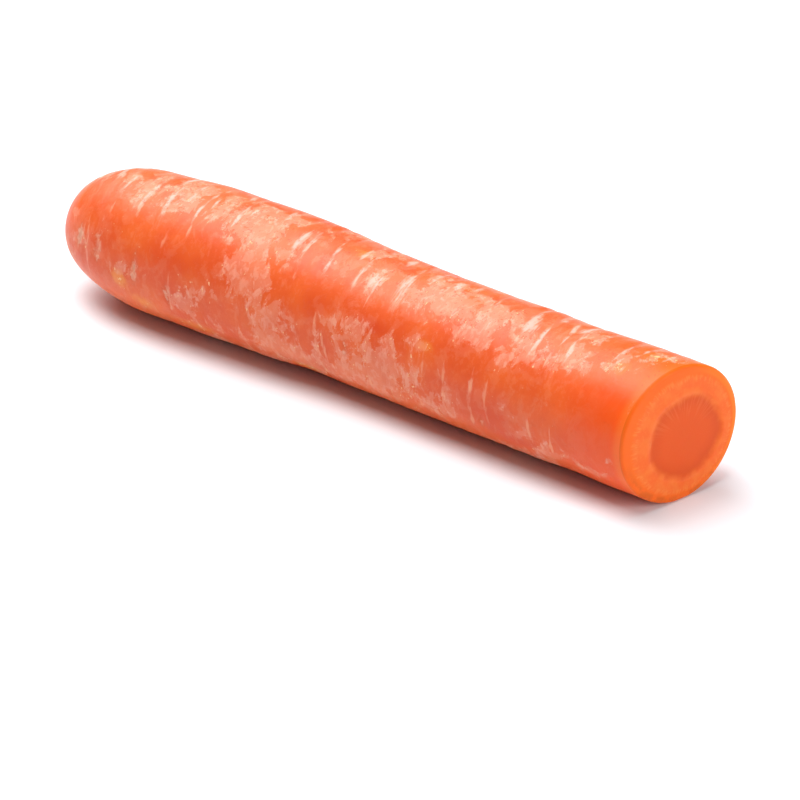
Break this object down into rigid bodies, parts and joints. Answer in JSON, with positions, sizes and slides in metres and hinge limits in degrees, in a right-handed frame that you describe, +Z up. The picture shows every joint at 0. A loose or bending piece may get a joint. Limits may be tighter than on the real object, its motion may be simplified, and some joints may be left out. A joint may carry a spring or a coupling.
{
  "type": "carrot",
  "caption": "Thick, blunt-shouldered carrot root lying on its side, with its leaves trimmed off, shallow growth rings and side-root scars, and its thin end cut across.",
  "frame": {"origin": "middle of the root's bounding box in plan, on the surface that it rests on", "axes": "+X along the root from its crown to its cut face, +Z up, +Y to the left when looking from the crown to the cut"},
  "size_m": [0.1862, 0.0382, 0.0359],
  "materials": {
    "carrot_root": "satin, moist vegetable skin"
  },
  "bodies": {
    "root": {"carrot_root": "carrot_root"}
  },
  "joints": []
}
